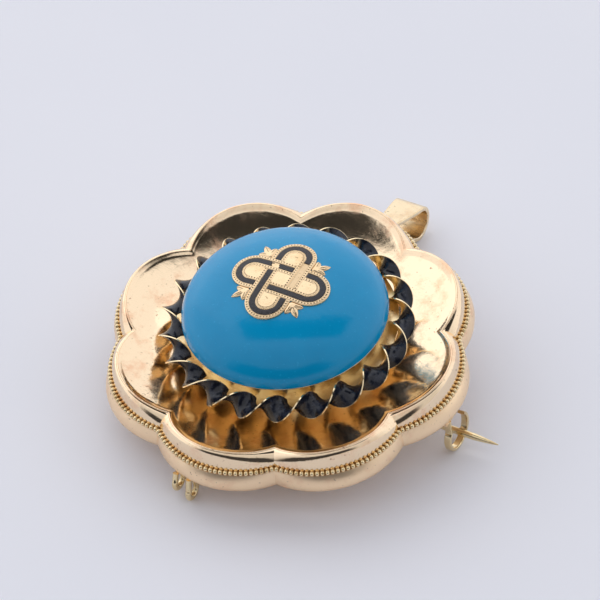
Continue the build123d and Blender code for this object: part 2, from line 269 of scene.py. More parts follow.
def gold(name, colour, stain, roughness, worn=0.1, peel=0.006, grain=0.0, paint_shade_in_marks=False):
    """Gold alloy: tarnish patches, dark specks, hand-polish waviness and fine scratches.

    worn is how much rougher the patches are; peel and grain are depths in mm of the polish's broad
    waves and of a fine satin grain; the last flag darkens what the mesh says is engraved, as painted shade in
    the marks.
    """
    material, nodes, links, shader = new_material(name)
    vector = place_in_mm(nodes, links)
    patches = noise(nodes, links, vector, 0.35, 5.0, 0.65, 0.48, 0.72)
    specks = noise(nodes, links, vector, 2.6, 2.0, 0.5, 0.66, 0.76)
    tint = mix_colour(nodes, links, patches, colour, stain)
    tint = mix_colour(nodes, links, specks, tint, tuple(0.55 * c for c in stain))
    # Darker gold in the engraved marks: painted shade in the recesses.
    if paint_shade_in_marks:
        layer = nodes.new("ShaderNodeAttribute")
        layer.attribute_name = "engraved"
        tint = mix_colour(nodes, links, layer.outputs["Fac"], tint, tuple(0.3 * c for c in stain))
    links.new(tint, shader.inputs["Base Color"])
    shader.inputs["Metallic"].default_value = 1.0
    scratch_vector = place_in_mm(nodes, links, (0.35, 3.2, 1.4))
    scratches = noise(nodes, links, scratch_vector, 2.2, 2.0, 0.5, 0.56, 0.6)
    links.new(scaled(nodes, links, patches, roughness, roughness + worn), shader.inputs["Roughness"])
    waves = noise(nodes, links, vector, 1.1, 2.0, 0.5, 0.2, 0.8)
    normal = bump(nodes, links, waves, peel)
    normal = bump(nodes, links, scratches, 0.0012, 0.6, normal)
    if grain:
        fine = noise(nodes, links, vector, 14.0, 3.0, 0.7, 0.2, 0.8)
        normal = bump(nodes, links, fine, grain, 1.0, normal)
    links.new(normal, shader.inputs["Normal"])
    return material


def turquoise_enamel():
    """Opaque glossy enamel, slightly clouded, with a few paler specks."""
    material, nodes, links, shader = new_material("turquoise_enamel_gloss")
    vector = place_in_mm(nodes, links)
    cloud = noise(nodes, links, vector, 0.18, 4.0, 0.6, 0.3, 0.7)
    blue = mix_colour(nodes, links, cloud, (0.0, 0.285, 0.57), (0.0, 0.305, 0.6))
    specks = noise(nodes, links, vector, 3.3, 1.0, 0.5, 0.7, 0.74)
    links.new(mix_colour(nodes, links, specks, blue, (0.01, 0.36, 0.67)), shader.inputs["Base Color"])
    shader.inputs["Roughness"].default_value = 0.16
    shader.inputs["IOR"].default_value = 1.4
    waves = noise(nodes, links, vector, 0.5, 2.0, 0.5, 0.2, 0.8)
    links.new(bump(nodes, links, waves, 0.02), shader.inputs["Normal"])
    return material


def black_enamel():
    """Worn black enamel of the knot's lines."""
    material, nodes, links, shader = new_material("black_enamel_line")
    vector = place_in_mm(nodes, links)
    cloud = noise(nodes, links, vector, 2.2, 3.0, 0.6, 0.35, 0.65)
    links.new(
        mix_colour(nodes, links, cloud, (0.012, 0.011, 0.014), (0.03, 0.026, 0.032)),
        shader.inputs["Base Color"],
    )
    links.new(scaled(nodes, links, cloud, 0.22, 0.45), shader.inputs["Roughness"])
    links.new(bump(nodes, links, cloud, 0.01), shader.inputs["Normal"])
    return material


def ribbon_faces():
    """Blue-black enamel where the mesh's enamel layer is 1, bare gold where it is 0."""
    material, nodes, links, shader = new_material("ribbon_enamel_and_gold")
    vector = place_in_mm(nodes, links)
    layer = nodes.new("ShaderNodeAttribute")
    layer.attribute_name = "enamel"
    cloud = noise(nodes, links, vector, 0.9, 3.0, 0.6, 0.4, 0.75)
    dark = mix_colour(nodes, links, cloud, (0.005, 0.007, 0.016), (0.028, 0.034, 0.055))
    bare_gold = (0.97, 0.79, 0.5)
    colour = mix_colour(nodes, links, layer.outputs["Fac"], bare_gold, dark)
    links.new(colour, shader.inputs["Base Color"])
    bare = nodes.new("ShaderNodeMath")
    bare.operation = "SUBTRACT"
    bare.inputs[0].default_value = 1.0
    links.new(layer.outputs["Fac"], bare.inputs[1])
    links.new(bare.outputs["Value"], shader.inputs["Metallic"])
    links.new(scaled(nodes, links, cloud, 0.16, 0.34), shader.inputs["Roughness"])
    links.new(bump(nodes, links, cloud, 0.02), shader.inputs["Normal"])
    return material


def plain_paper():
    """Fibrous off-white card."""
    material, nodes, links, shader = new_material("keepsake_card")
    vector = place_in_mm(nodes, links)
    fibres = noise(nodes, links, vector, 5.0, 5.0, 0.7, 0.2, 0.8)
    links.new(
        mix_colour(nodes, links, fibres, (0.62, 0.56, 0.46), (0.72, 0.67, 0.57)),
        shader.inputs["Base Color"],
    )
    shader.inputs["Roughness"].default_value = 0.9
    links.new(bump(nodes, links, fibres, 0.03), shader.inputs["Normal"])
    return material


def clear_glass():
    """Clear glass with a faint haze in patches."""
    material, nodes, links, shader = new_material("locket_clear_glass")
    vector = place_in_mm(nodes, links)
    haze = noise(nodes, links, vector, 0.8, 4.0, 0.6, 0.4, 0.8)
    shader.inputs["Base Color"].default_value = (0.95, 0.97, 0.96, 1)
    shader.inputs["Transmission Weight"].default_value = 1.0
    shader.inputs["IOR"].default_value = 1.5
    links.new(scaled(nodes, links, haze, 0.02, 0.12), shader.inputs["Roughness"])
    return material


GOLD = (0.94, 0.74, 0.51)
GOLD_STAIN = (0.86, 0.56, 0.36)
polished = gold("polished_gold", GOLD, GOLD_STAIN, 0.08, peel=0.005)
dished = gold("tray_gold", GOLD, GOLD_STAIN, 0.11, peel=0.005)
beaded = gold("bead_gold", (0.9, 0.72, 0.44), (0.7, 0.5, 0.24), 0.14, peel=0.004)
satin = gold("satin_gold", (0.97, 0.73, 0.48), (0.9, 0.62, 0.4), 0.32, grain=0.004)
shaded = gold("shaded_gold", (0.94, 0.75, 0.45), (0.8, 0.56, 0.28), 0.3, worn=0.15, peel=0.01)
# Gold of the knot and sprigs; its engraved marks get painted shade.
engraved = gold(
    "ornament_gold", (0.84, 0.63, 0.39), (0.76, 0.54, 0.3), 0.24, peel=0.004, grain=0.003, paint_shade_in_marks=True
)
wire = gold("wire_gold", (0.86, 0.7, 0.42), (0.7, 0.52, 0.28), 0.17, worn=0.12, peel=0.003)
bail_gold = gold("bail_gold", (0.9, 0.73, 0.48), (0.8, 0.56, 0.34), 0.24, worn=0.12, grain=0.002)
# Very dark gold of the bead row's core: painted shade in the gaps between the beads.
bead_gap_shade_gold = gold("bead_gap_painted_shade", (0.3, 0.17, 0.06), (0.2, 0.1, 0.03), 0.5, peel=0.002)
enamel_blue = turquoise_enamel()
enamel_black = black_enamel()
ribbon_material = ribbon_faces()
card = plain_paper()
glass = clear_glass()


# --- lobed frame ---------------------------------------------------------------------------------
def dish_height(radius):
    """Height of the tray's round dished face at a distance from the main axis."""
    out = np.clip(radius - DISH_START, 0, None)
    return FLOOR_Z + DISH_RADIUS - np.sqrt(DISH_RADIUS**2 - out**2)


def front_tray(rays=56, runs=56):
    """One smooth dish, cut to the lobed crest line, with a thin rounded lip along it."""
    inner = CUP_RADIUS + 0.05
    lip, lip_top = 0.1, 0.02
    swing = np.linspace(-HALF_LOBE, HALF_LOBE, rays, endpoint=False)
    side, along = LOBE_CENTRE * np.sin(swing), LOBE_CENTRE * np.cos(swing)

    def reach(arc):
        return along + np.sqrt(arc * arc - side * side)

    crest = reach(CREST_ARC)
    faces_up_and_down = []
    for level in (0, -TRAY_SHEET):
        run = []
        for share in np.linspace(0, 1, runs):
            radius = inner + (crest - inner) * share
            upturn = LIP_RISE * smooth(crest - radius, LIP_RUN, 0.0)
            run.append((radius, dish_height(radius) + level + upturn))
        faces_up_and_down.append(run)
    above, below = faces_up_and_down
    top = dish_height(crest) + LIP_RISE + lip_top
    edge = []
    for turn in np.linspace(0.15, math.pi, 9):
        edge.append((reach(CREST_ARC + lip - lip * math.cos(turn)), top - lip + lip * math.sin(turn)))
    rings = []
    for radius, z in above + edge + below[::-1]:
        ring = []
        for k in range(LOBES):
            turned = swing + 2 * HALF_LOBE * k
            ring.append(np.stack([radius * np.cos(turned), radius * np.sin(turned), z], -1))
        rings.append(np.concatenate(ring))
    points = np.stack(rings)
    points[..., 2] += hand_finish(points, 0.008)
    faces = grid_faces(len(rings), points.shape[1], True, True)
    make_piece(
        "tray_sheet", points.reshape(-1, 3), faces, dished,
        replaced=["front_tray"], crease=24.0,
    )


def bulge(top, bottom, steps):
    """Convex run from a (height, notch, apex) on top to one below: it leaves the top level."""
    run = []
    for share in np.linspace(0, 1, steps):
        outward = math.sin(share * math.pi / 2)
        drop = 1 - math.cos(share * math.pi / 2)
        z = top[0] + (bottom[0] - top[0]) * drop
        run.append((z, top[1] + (bottom[1] - top[1]) * outward, top[2] + (bottom[2] - top[2]) * outward))
    return run


def rim_band(steps=56):
    """Outer wall that swells from under the tray's lip down to the beads.

    Heights in its profile are shares of the way from its foot, 0, up to the tray's crest, 1.
    """
    inner = CREST_ARC + 0.16                    # clear of the lip
    foot = BEAD_Z - 0.25
    swell = 0.22                                # how far inside the beads it ends
    start = (0.99, notch_of(inner + 0.06), LOBE_CENTRE + inner + 0.06)
    profile = [(share, notch_of(inner), LOBE_CENTRE + inner) for share in (0.0, 0.94)]
    profile += bulge(start, (0.06, BEAD_NOTCH - swell, BEAD_APEX - swell), 22)
    profile.append((0.0, BEAD_NOTCH - 0.3, BEAD_APEX - 0.3))
    crest = lobed_ring(notch_of(inner), LOBE_CENTRE + inner, steps)
    top = dish_height(np.hypot(crest[:, 0], crest[:, 1])) + 0.03
    rings = []
    for share, notch, apex in profile:
        ring = lobed_ring(notch, apex, steps)
        rings.append(np.column_stack([ring, foot + (top - foot) * share]))
    points = np.stack(rings)
    points[..., 2] += hand_finish(points, 0.012)
    faces = grid_faces(len(rings), points.shape[1], True, True)
    make_piece(
        "rim_band", points.reshape(-1, 3), faces, polished,
        replaced=["upper_rim_band"], crease=30.0,
    )


def lower_rim():
    """Hoop that swells out low down and draws in towards the beads."""
    top = BEAD_Z - 0.3
    wall_notch, wall_apex = RIM_NOTCH - 1.05, RIM_APEX - 1.11
    widest = 0.3                                # share of the way up
    profile = [(0.0, wall_notch, wall_apex)]
    for share in np.linspace(0, 1, 24):
        below = max(0.0, (widest - share) / widest) ** 2
        above = max(0.0, (share - widest) / (1 - widest)) ** 2
        notch = RIM_NOTCH - 0.3 * (below + above)
        apex = RIM_APEX - 0.35 * below - 0.6 * above
        profile.append((share * top, notch, apex))
    profile.append((top + 0.06, BEAD_NOTCH - 0.15, BEAD_APEX - 0.15))
    profile.append((top, wall_notch, wall_apex))
    lobed_sweep("rim_hoop", profile, satin, ["lower_rim"], 44, uneven=0.015, crease=40.0)


def bead_wire():
    """A row of small round beads pressed along each lobe, on a thin core that is painted very dark: painted
    shade between the beads.
    """
    centre, radius, end = lobe_arc(BEAD_NOTCH, BEAD_APEX)
    around, down = 12, 9
    latitude = np.linspace(0, math.pi, down)
    longitude = np.linspace(0, 2 * math.pi, around, endpoint=False)
    ball = np.stack([
        np.outer(np.sin(latitude), np.cos(longitude)),
        np.outer(np.sin(latitude), np.sin(longitude)),
        np.outer(np.cos(latitude), np.ones(around)),
    ], -1).reshape(-1, 3) * BEAD_SCALE
    points, faces = [], []
    for k in range(LOBES):
        turn = k * 2 * HALF_LOBE
        for n in range(BEADS_PER_LOBE):
            share = (n + 0.5) / BEADS_PER_LOBE
            angle = end * (2 * share - 1)
            x, y = centre + radius * math.cos(angle), radius * math.sin(angle)
            place = np.array([*turned_about_z(turn, x, y), BEAD_Z])
            facing = turn + angle
            spin = np.array([
                [math.cos(facing), -math.sin(facing), 0], [math.sin(facing), math.cos(facing), 0], [0, 0, 1],
            ])
            faces += grid_faces(down, around, False, True, len(points) * len(ball))
            points.append(ball @ spin.T + place)
    make_piece(
        "bead_row", np.concatenate(points), faces, beaded,
        replaced=["bead_wire"], crease=60.0,
    )
    thin, inset = 0.2, 0.05
    core = []
    for turn in np.linspace(0, 2 * math.pi, 10, endpoint=False):
        out = thin * math.cos(turn) - inset
        core.append((BEAD_Z + thin * math.sin(turn), BEAD_NOTCH + out, BEAD_APEX + out))
    # The core's very dark gold is painted shade between the beads.
    lobed_sweep("bead_core", core, bead_gap_shade_gold, [], 24)


# --- dome ----------------------------------------------------------------------------------------
def dome_height(radius):
    """Height of the enamel's surface at a distance from the main axis."""
    return DOME_Z + DOME_HEIGHT * np.sqrt(1 - (radius / DOME_RADIUS) ** DOME_POWER)


def enamel_dome():
    """Solid dome from its top down to its rim, then flat back to the axis."""
    profile = [
        (DOME_RADIUS * math.sin(turn) ** (2 / DOME_POWER), DOME_Z + DOME_HEIGHT * math.cos(turn))
        for turn in np.linspace(0, math.pi / 2, 72)
    ]
    profile.append((0.0, DOME_Z))
    lathe("dome_enamel", profile, enamel_blue, ["enamel_dome"])


def dome_edge():
    """Thin rounded gold lip under the enamel, on a flat ring."""
    inner, lip = DOME_RADIUS - 0.9, 0.11
    profile = [(inner, DOME_Z - 0.25), (inner, DOME_Z)]
    for a in np.radians(np.linspace(90, -90, 9)):
        profile.append((DOME_RADIUS - lip + lip * math.cos(a), DOME_Z - lip + lip * math.sin(a)))
    profile.append((DOME_RADIUS - 0.35, DOME_Z - 0.3))
    lathe("dome_lip", profile, wire, ["dome_edge_ring"])


def twisted_ribbon(steps_per_half=26):
    """Flat strip twisted all the way round the dome, enamelled where it faces up and out.

    It has an odd number of half turns, so the row that meets itself after one round is the one on
    the strip's other face.
    """
    count = RIBBON_HALF_TURNS * steps_per_half
    across = np.array([-1, -0.95, -0.7, -0.35, 0, 0.35, 0.7, 0.95, 1])
    theta = np.linspace(0, 2 * math.pi, count + 1)
    turn = RIBBON_HALF_TURNS / 2 * (theta - RIBBON_TIP_ANGLE)
    radial = np.stack([np.cos(theta), np.sin(theta), 0 * theta], -1)
    tangent = np.stack([-np.sin(theta), np.cos(theta), 0 * theta], -1)
    rise = np.array([0.0, 0.0, 1.0])
    width = np.cos(turn)[:, None] * radial + np.sin(turn)[:, None] * rise
    normal = -np.sin(turn)[:, None] * radial + np.cos(turn)[:, None] * rise
    centre = RIBBON_RADIUS * radial + RIBBON_Z * rise
    rate = RIBBON_HALF_TURNS / 2 / RIBBON_RADIUS
    points, enamel = [], []
    for side in (1, -1):
        for share in across if side > 0 else across[::-1]:
            slope = normal - share * RIBBON_HALF * rate * tangent
            slope /= np.linalg.norm(slope, axis=1, keepdims=True)
            points.append(centre + share * RIBBON_HALF * width + side * RIBBON_THICK / 2 * slope)
            facing = side * (0.75 * slope[:, 2] + 0.6 * (slope * radial).sum(1))
            on_face = abs(share) < 0.97
            enamel.append(smooth(facing, -0.2, -0.05) * on_face)
    points = np.stack(points)[:, :-1]
    rows = len(points)
    faces = []
    for row in range(rows):
        for column in range(count):
            wrap = rows // 2 if column + 1 == count else 0
            ahead = (column + 1) % count
            first, second = (row + wrap) % rows, (row + 1 + wrap) % rows
            corners = (row * count + column, (row + 1) % rows * count + column)
            faces.append([*corners, second * count + ahead, first * count + ahead])
    piece = make_piece(
        "ribbon_strip", points.reshape(-1, 3), faces, ribbon_material,
        replaced=["twisted_ribbon"], crease=50.0,
    )
    colour_layer(piece, "enamel", np.stack(enamel)[:, :-1].reshape(-1))


# --- knot ornament -----------------------------------------------------------------------------
STRAND_OFFSET, STRAND_TIP = 1.7, 5.3            # of each loop's centre line, from the middle
STRAIGHT = STRAND_TIP - STRAND_OFFSET
BAND_HALF, LINE_HALF = 0.87, 0.37               # half widths of a gold band, and of its enamel line
ORNAMENT_THICK, INLAY_DEPTH = 0.24, 0.12
BAND_RISE = 0.03                                # how far the bands stand over the ground
DOT_LINE, DOT_PITCH, DOT_RADIUS = 0.64, 0.36, 0.13
SCRIBED_LINE = 0.47                             # beside the enamel, from a strand's middle
CARVE_SPREAD, CARVE_PITCH = 6.4, 0.05           # half width and step of the carved pieces' grid
SPRIG_CORE, SPRIG_CORE_RADIUS = 4.4, 0.6
SPRIG_LEAVES = (                                # tip out, tip sideways, angle, length, half width
    (6.1, 0.0, 0, 1.9, 0.42),
    (5.05, 1.15, 58, 1.5, 0.42),
    (4.2, 1.5, 75, 1.1, 0.4),
)


def loop_place(x, y):
    """Distance out from a loop's centre line, and the way along it, for the loop that runs along Y."""
    beyond = np.abs(y) - STRAIGHT
    from_axis = np.where(beyond > 0, np.hypot(x, np.maximum(beyond, 0)), np.abs(x))
    turned = np.arctan2(np.maximum(beyond, 0), np.abs(x))
    along = np.where(beyond > 0, STRAIGHT + (STRAND_OFFSET + DOT_LINE) * turned, np.abs(y))
    return from_axis - STRAND_OFFSET, along


def knot_outline(x, y):
    """Distance outside the two crossed loops' bands."""
    return np.minimum(loop_place(x, y)[0], loop_place(y, x)[0]) - BAND_HALF


def covered(x, y, upright):
    """Depth inside the crossings where this loop passes under the other."""
    same_sign = x * y > 0
    side = np.maximum(np.abs(np.abs(x) - STRAND_OFFSET), np.abs(np.abs(y) - STRAND_OFFSET))
    under = ~same_sign if upright else same_sign
    return np.where(under, BAND_HALF - side, -9.0)


def line_distance(x, y, upright):
    """Distance outside one loop's enamel line, broken where it passes under."""
    away = loop_place(x, y)[0] if upright else loop_place(y, x)[0]
    return np.maximum(np.abs(away) - LINE_HALF, covered(x, y, upright) + 0.02)


def chipped(x, y):
    """Above zero where the enamel has been lost: a long stretch on the right, a chip at the top."""
    ragged = 0.12 * np.sin(9 * x + 4 * y) + 0.08 * np.sin(17 * y - 5 * x)
    reach = 0.6
    beside_right, beside_top = reach - np.abs(x - STRAND_OFFSET), reach - np.abs(y - STRAND_OFFSET)
    stretch = 2.1 - np.abs(y - 1.25)
    chip = 0.42 - np.abs(x + 1.5 + 0.25 * (y - STRAND_OFFSET))
    return np.maximum(
        np.minimum(stretch, beside_right) + 0.3 * ragged, np.minimum(chip, beside_top) + ragged
    )


def engraving(x, y):
    """How deep the plate is marked, 0 plain to 1 deepest.

    There are dots and a scribed line along both sides of each strand where it isn't under the
    other, a line at each crossing's edges, and a rough channel where the enamel is lost.
    """
    mark = np.zeros_like(x)
    for upright in (True, False):
        away, along = loop_place(x, y) if upright else loop_place(y, x)
        hidden = covered(x, y, upright) > -0.03
        step = along - DOT_PITCH * np.round(along / DOT_PITCH)
        for line in (DOT_LINE, -DOT_LINE):
            dot = smooth(np.hypot(step, away - line), DOT_RADIUS, 0.04)
            mark = np.maximum(mark, np.where(hidden, 0, dot))
        scribed = 0.6 * smooth(np.abs(np.abs(away) - SCRIBED_LINE), 0.045, 0.01)
        mark = np.maximum(mark, np.where(hidden, 0, scribed))
    for upright in (True, False):
        crossing = 0.5 * smooth(np.abs(covered(x, y, upright)), 0.05, 0.01)
        mark = np.maximum(mark, crossing * (knot_outline(x, y) < -0.1))
    bare = smooth(np.abs(x - STRAND_OFFSET), LINE_HALF, LINE_HALF - 0.06) * (chipped(x, y) > 0)
    speckle = 0.3 + 0.12 * np.sin(31 * x + 13 * y) * np.sin(27 * y - 11 * x)
    return np.maximum(mark, bare * speckle)


def carved_sheet(name, distance, height, material, replaced):
    """Closed thin piece on the dome: where distance is below zero, its top at height over the enamel."""
    pitch = CARVE_PITCH
    count = int(2 * CARVE_SPREAD / pitch) + 1
    line = np.linspace(-CARVE_SPREAD, CARVE_SPREAD, count)
    x, y = [axis.reshape(-1) for axis in np.meshgrid(line, line)]
    gap = distance(x, y)
    nudge = pitch * 0.05
    slope = np.stack([
        (distance(x + nudge, y) - distance(x - nudge, y)) / (2 * nudge),
        (distance(x, y + nudge) - distance(x, y - nudge)) / (2 * nudge),
    ], -1)
    quads = np.array(grid_faces(count, count))
    quads = quads[(gap[quads] < 0.5 * pitch).all(1)]
    used, packed = np.unique(quads, return_inverse=True)
    quads = packed.reshape(-1, 4)
    flat = np.stack([x, y], -1)[used]
    near = gap[used] > -0.45 * pitch
    flat[near] -= gap[used][near, None] * slope[used][near]
    base = dome_height(np.hypot(flat[:, 0], flat[:, 1]))
    top = np.column_stack([flat, base + height(flat[:, 0], flat[:, 1])])
    bottom = np.column_stack([flat, base - 0.03])
    edges = np.concatenate([quads[:, [i, (i + 1) % 4]] for i in range(4)])
    back = {(b, a) for a, b in edges.tolist()}
    border = [edge for edge in edges.tolist() if tuple(edge) not in back]
    size = len(flat)
    faces = quads.tolist() + (quads[:, ::-1] + size).tolist()
    faces += [[b, a, a + size, b + size] for a, b in border]
    return make_piece(name, np.concatenate([top, bottom]), faces, material, "locket", replaced, 45.0)


def mark_layer(piece, marks):
    """Keeps how deep each point of a carved piece is engraved, for the painted shade that darkens its marks.
    """
    spots = np.array([vertex.co for vertex in piece.data.vertices]) / MM
    colour_layer(piece, "engraved", marks(spots[:, 0], spots[:, 1]))


def knot_height(x, y):
    """Flat ground, bands a little proud of it, engraved marks, and a channel for each line."""
    ground = ORNAMENT_THICK - BAND_RISE
    top = np.full_like(x, ground)
    for upright in (True, False):
        away = (loop_place(x, y) if upright else loop_place(y, x))[0]
        proud = BAND_RISE * smooth(np.abs(away), BAND_HALF, BAND_HALF - 0.08)
        top = np.where(covered(x, y, upright) > 0, top, np.maximum(top, ground + proud))
    line = np.minimum(line_distance(x, y, True), line_distance(x, y, False))
    top -= 0.045 * engraving(x, y)
    top -= INLAY_DEPTH * smooth(line, 0.03, -0.04)
    return top - 0.05 * smooth(knot_outline(x, y), -0.12, 0)


def knot_plate():
    piece = carved_sheet("knot_ground", knot_outline, knot_height, engraved, ["knot_plate"])
    mark_layer(piece, engraving)


def inlay_distance(x, y):
    """Distance outside the enamel that is left in the lines."""
    line = np.minimum(line_distance(x, y, True), line_distance(x, y, False))
    return np.maximum(line - 0.01, chipped(x, y))


def inlay_height(x, y):
    """Just under the bands, and lower towards its edges."""
    return ORNAMENT_THICK - 0.035 - 0.03 * smooth(inlay_distance(x, y), -0.12, 0)


def knot_inlay():
    carved_sheet("knot_enamel", inlay_distance, inlay_height, enamel_black, ["knot_inlay"])


def leaf(x, y, tip_x, tip_y, angle, length, half):
    """Distance outside a pointed leaf with its tip at a place, pointing along angle."""
    turn = math.radians(angle)
    along = (x - tip_x) * math.cos(turn) + (y - tip_y) * math.sin(turn) + length / 2
    across = -(x - tip_x) * math.sin(turn) + (y - tip_y) * math.cos(turn)
    bow = ((length / 2) ** 2 - half**2) / (2 * half)
    arc = bow + half
    return np.hypot(along, np.abs(across) + bow) - arc


def sprig_place(x, y):
    """Place in a sprig, the same for all four: out along its diagonal, and sideways from it."""
    return (np.abs(x) + np.abs(y)) / math.sqrt(2), np.abs(np.abs(x) - np.abs(y)) / math.sqrt(2)


def sprig_distance(x, y):
    """Distance outside the four sprigs: a pointed leaf between curled side leaves, on each diagonal."""
    u, v = sprig_place(x, y)
    shape = np.hypot(u - SPRIG_CORE, v) - SPRIG_CORE_RADIUS
    for leaf_sizes in SPRIG_LEAVES:
        shape = np.minimum(shape, leaf(u, v, *leaf_sizes))
    return np.maximum(shape, -knot_outline(x, y))


def sprig_marks(x, y):
    """How deep a sprig is engraved: a vein down its middle leaf and one down each side leaf."""
    u, v = sprig_place(x, y)
    vein = smooth(v, 0.07, 0.01) * smooth(u, 4.7, 4.9) * smooth(u, 6.1, 5.9)
    tilt = math.radians(52)
    side = np.abs((u - 4.45) * math.sin(tilt) - v * math.cos(tilt) + 0.15)
    return np.maximum(vein, smooth(side, 0.07, 0.01) * smooth(v, 0.25, 0.4))


def sprig_height(x, y):
    """Leaves that swell to their middles, with engraved veins."""
    swell = np.clip(-sprig_distance(x, y) / 0.3, 0, 1) ** 0.5
    return 0.06 + 0.15 * swell - 0.05 * sprig_marks(x, y)


def leaf_sprigs():
    piece = carved_sheet("sprigs", sprig_distance, sprig_height, engraved, ["leaf_sprigs"])
    mark_layer(piece, sprig_marks)


# --- pin, bail and loops --------------------------------------------------------------------------
def sweep_section(name, centres, sideways, outward, sections, material, body, replaced, closed=False):
    """A section of (across, out) points carried along centres, with one set of axes at each."""
    points = np.stack([
        centre + np.outer(section[:, 0], side) + np.outer(section[:, 1], out)
        for centre, side, out, section in zip(centres, sideways, outward, sections)
    ])
    rows, columns = points.shape[:2]
    faces = grid_faces(rows, columns, closed, True)
    if not closed:
        faces += [list(range(columns)), list(range((rows - 1) * columns, rows * columns))]
    make_piece(name, points.reshape(-1, 3), faces, material, body, replaced, 60.0)


def directions_along(path):
    ahead = np.gradient(path, axis=0)
    return ahead / np.linalg.norm(ahead, axis=1, keepdims=True)


def rounded_strip(width, thick, corner, crown):
    """Rounded rectangle, with its outer face crowned."""
    section = []
    for sign_x, sign_y, start in ((1, 1, 0), (-1, 1, 90), (-1, -1, 180), (1, -1, 270)):
        middle_x, middle_y = sign_x * (width / 2 - corner), sign_y * (thick / 2 - corner)
        for a in np.radians(np.linspace(start, start + 90, 5)):
            section.append((middle_x + corner * math.cos(a), middle_y + corner * math.sin(a)))
        if (sign_x, sign_y) == (1, 1):
            for share in (0.5, 0.0, -0.5):
                rise = crown * (1 - share**2)
                section.append((share * (width - 2 * corner), thick / 2 + rise))
    return np.array(section)


def bail():
    """Tapered strip bent to a closed loop round the staple's bar; it hangs below the plate's level."""
    eye, end, reach, band = 0.95, 2.2, 9.1, 0.5     # outer radii, distance between them, thickness
    narrow, widening = 1.6, 2.4
    pivot = np.array([0.0, (low("bail_staple").y + high("bail_staple").y) / 2, -1.3])
    droop = math.radians(29.4)
    along = np.array([0.0, math.cos(droop), -math.sin(droop)])
    over = np.array([0.0, math.sin(droop), math.cos(droop)])
    across = np.array([1.0, 0.0, 0.0])
    lean = math.asin((end - eye) / reach)
    small, large = eye - band / 2, end - band / 2
    upper, lower = math.pi / 2 + lean, -math.pi / 2 - lean
    run = np.linspace(0, 1, 20)[1:-1]
    steps = [(reach, large, a) for a in np.linspace(lower, upper, 40)]
    steps += [(reach * (1 - share), large + (small - large) * share, upper) for share in run]
    steps += [(0, small, a) for a in np.linspace(upper, lower + 2 * math.pi, 24)]
    steps += [(reach * share, small + (large - small) * share, lower) for share in run]
    centres, outward, sections = [], [], []
    for middle, radius, a in steps:
        out = math.cos(a) * along + math.sin(a) * over
        centres.append(pivot + middle * along + radius * out)
        outward.append(out)
        width = narrow + widening * smooth(middle + radius * math.cos(a), -1.2, reach + 1.0)
        sections.append(rounded_strip(width, band, 0.13, 0.05))
    sweep_section(
        "bail_loop", centres, [across] * len(steps), outward, sections, bail_gold,
        "bail", ["bail"], closed=True,
    )


def round_wire(name, path, radii, body, replaced, around=16):
    """Round wire along points, with flat-capped ends; the radius may change along it."""
    path = np.asarray(path, float)
    ahead = directions_along(path)
    off_the_wire = [0.3, 0.5, 0.81]             # any direction that no wire here starts in
    side = np.cross(ahead[0], off_the_wire)
    sideways, outward = [], []
    for direction in ahead:
        side = side - direction * (side @ direction)
        side /= np.linalg.norm(side)
        sideways.append(side)
        outward.append(np.cross(direction, side))
    turn = np.linspace(0, 2 * math.pi, around, endpoint=False)
    ring = np.column_stack([np.cos(turn), np.sin(turn)])
    sections = [ring * radius for radius in np.broadcast_to(radii, len(path))]
    sweep_section(name, path, sideways, outward, sections, wire, body, replaced)


def drop_loop(node):
    """Wire bent to a round loop, its legs drawn together under the plate."""
    ring, thick, plate_z = 0.95, 0.36, 0.05
    middle_x = (low(node).x + high(node).x) / 2
    middle_y = (low(node).y + high(node).y) / 2
    middle_z = low(node).z + thick + ring
    path = []
    for a in np.linspace(math.radians(140), math.radians(380), 40):
        path.append((middle_x, middle_y + ring * math.cos(a), middle_z + ring * math.sin(a)))

    def leg(joined, spread, shares):
        """Points from the plate, at share 1, to an end of the loop, at 0."""
        _, y, z = joined
        return [(middle_x, y + spread * share, z + (plate_z - z) * share) for share in shares]

    path = leg(path[0], 0.35, (1, 0.5)) + path + leg(path[-1], -0.1, (0.5, 1))
    round_wire(node + "_wire", path, thick, "locket", [node])


def catch():
    """Flat strip bent to an open hook, with a turned-in lip."""
    middle_x = (low("catch").x + high("catch").x) / 2
    width = high("catch").x - low("catch").x
    thick, outer, middle_z, foot_z = 0.35, 2.4, -4.0, -0.3
    ring = outer - thick / 2
    start, stop = math.radians(140), math.radians(410)
    knee_y, knee_z = ring * math.cos(start), ring * math.sin(start)
    path = [
        (knee_y - 0.15 * share, knee_z + (foot_z - middle_z - knee_z) * share)
        for share in np.linspace(1, 0.15, 8)
    ]
    path += [(ring * math.cos(a), ring * math.sin(a)) for a in np.linspace(start, stop, 56)]
    centres = [np.array([middle_x, y, middle_z + z]) for y, z in path]
    outward = [np.array([0.0, z, -y]) for y, z in directions_along(path)]
    across = np.array([1.0, 0.0, 0.0])
    section = rounded_strip(width, thick, 0.11, 0.05)
    sweep_section(
        "catch_hook", centres, [across] * len(path), outward, [section] * len(path), wire,
        "locket", ["catch"],
    )


def pin_stem():
    """Round stem, slightly sprung, drawn to a point."""
    thick, point, tip_z = 0.42, 3.6, -4.15      # radius, length that is drawn down, the tip's height
    start = np.array([low("pin_stem").x + PIN_EYE + 0.2, 0.0, PIN_PIVOT_Z - 0.5])
    tip = np.array([high("pin_stem").x - 0.01, 0.0, tip_z])
    length = np.linalg.norm(tip - start)
    path, radii = [], []
    for share in np.concatenate([np.linspace(0, 0.86, 40), np.linspace(0.87, 1, 20)]):
        path.append(start + (tip - start) * share)
        left = (1 - share) * length
        radii.append(thick * min(1.0, 0.12 + (left / point) ** 0.75))
    round_wire("pin_wire", path, np.array(radii), "pin", ["pin_stem"])


